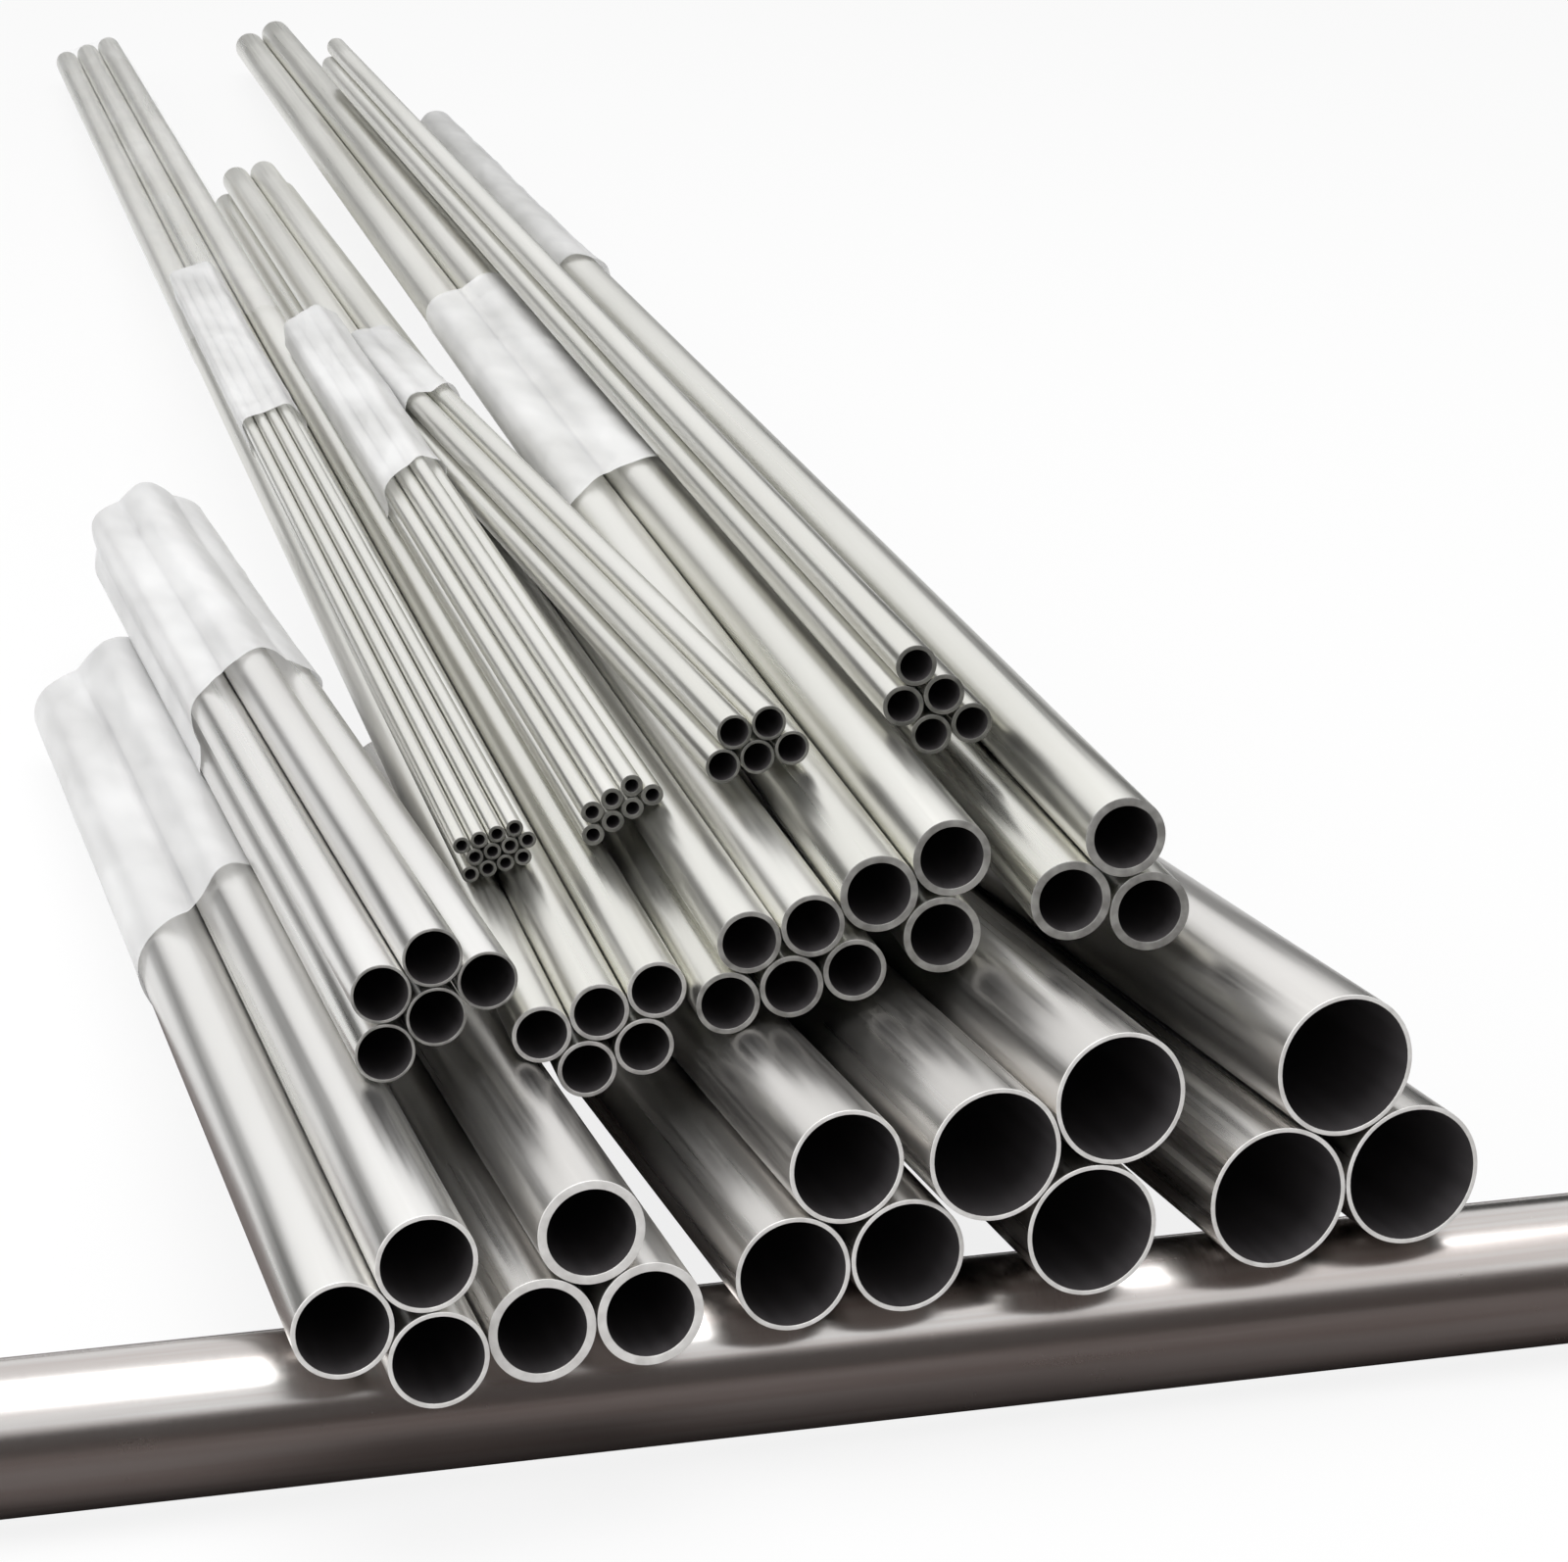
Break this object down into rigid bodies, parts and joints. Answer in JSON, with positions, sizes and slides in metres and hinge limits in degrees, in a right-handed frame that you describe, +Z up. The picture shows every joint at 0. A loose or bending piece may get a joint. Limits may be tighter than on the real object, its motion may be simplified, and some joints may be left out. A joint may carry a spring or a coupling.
{
  "type": "bundle of steel pipes",
  "caption": "Sawn steel tubes in bundles of several diameters, stacked in three tiers across a polished bearer pipe, with clear film round their far stretches.",
  "frame": {"origin": "on the floor under the middle of the stack's box", "axes": "+Z up; +Y along the tubes from the near ends to the far ends; +X along the bearer pipe"},
  "size_m": [0.6, 2.105, 0.1625],
  "materials": {
    "tube": "drawn and brushed along the tube, bright, with sawn pale ends",
    "bearer": "polished to a mirror",
    "film": "thin clear packing film, wrinkled"
  },
  "bodies": {
    "root": {"bearer_pipe": "bearer", "film_a": "film", "film_f": "film", "film_g": "film", "film_i": "film", "film_j": "film", "film_k": "film", "film_l": "film", "film_m": "film", "tube_a_1": "tube", "tube_a_2": "tube", "tube_a_3": "tube", "tube_b_1": "tube", "tube_b_2": "tube", "tube_b_3": "tube", "tube_c_1": "tube", "tube_c_2": "tube", "tube_c_3": "tube", "tube_d_1": "tube", "tube_d_2": "tube", "tube_d_3": "tube", "tube_e_1": "tube", "tube_e_2": "tube", "tube_e_3": "tube", "tube_f_1": "tube", "tube_f_2": "tube", "tube_f_3": "tube", "tube_f_4": "tube", "tube_f_5": "tube", "tube_g_1": "tube", "tube_g_2": "tube", "tube_g_3": "tube", "tube_g_4": "tube", "tube_g_5": "tube", "tube_h_1": "tube", "tube_h_2": "tube", "tube_h_3": "tube", "tube_h_4": "tube", "tube_h_5": "tube", "tube_i_1": "tube", "tube_i_2": "tube", "tube_i_3": "tube", "tube_j_1": "tube", "tube_j_2": "tube", "tube_j_3": "tube", "tube_m_1": "tube", "tube_m_2": "tube", "tube_m_3": "tube", "tube_m_4": "tube", "tube_m_5": "tube", "tube_n_1": "tube", "tube_n_2": "tube", "tube_n_3": "tube", "tube_n_4": "tube", "tube_n_5": "tube", "tubes_k": "tube", "tubes_l": "tube"}
  },
  "joints": []
}
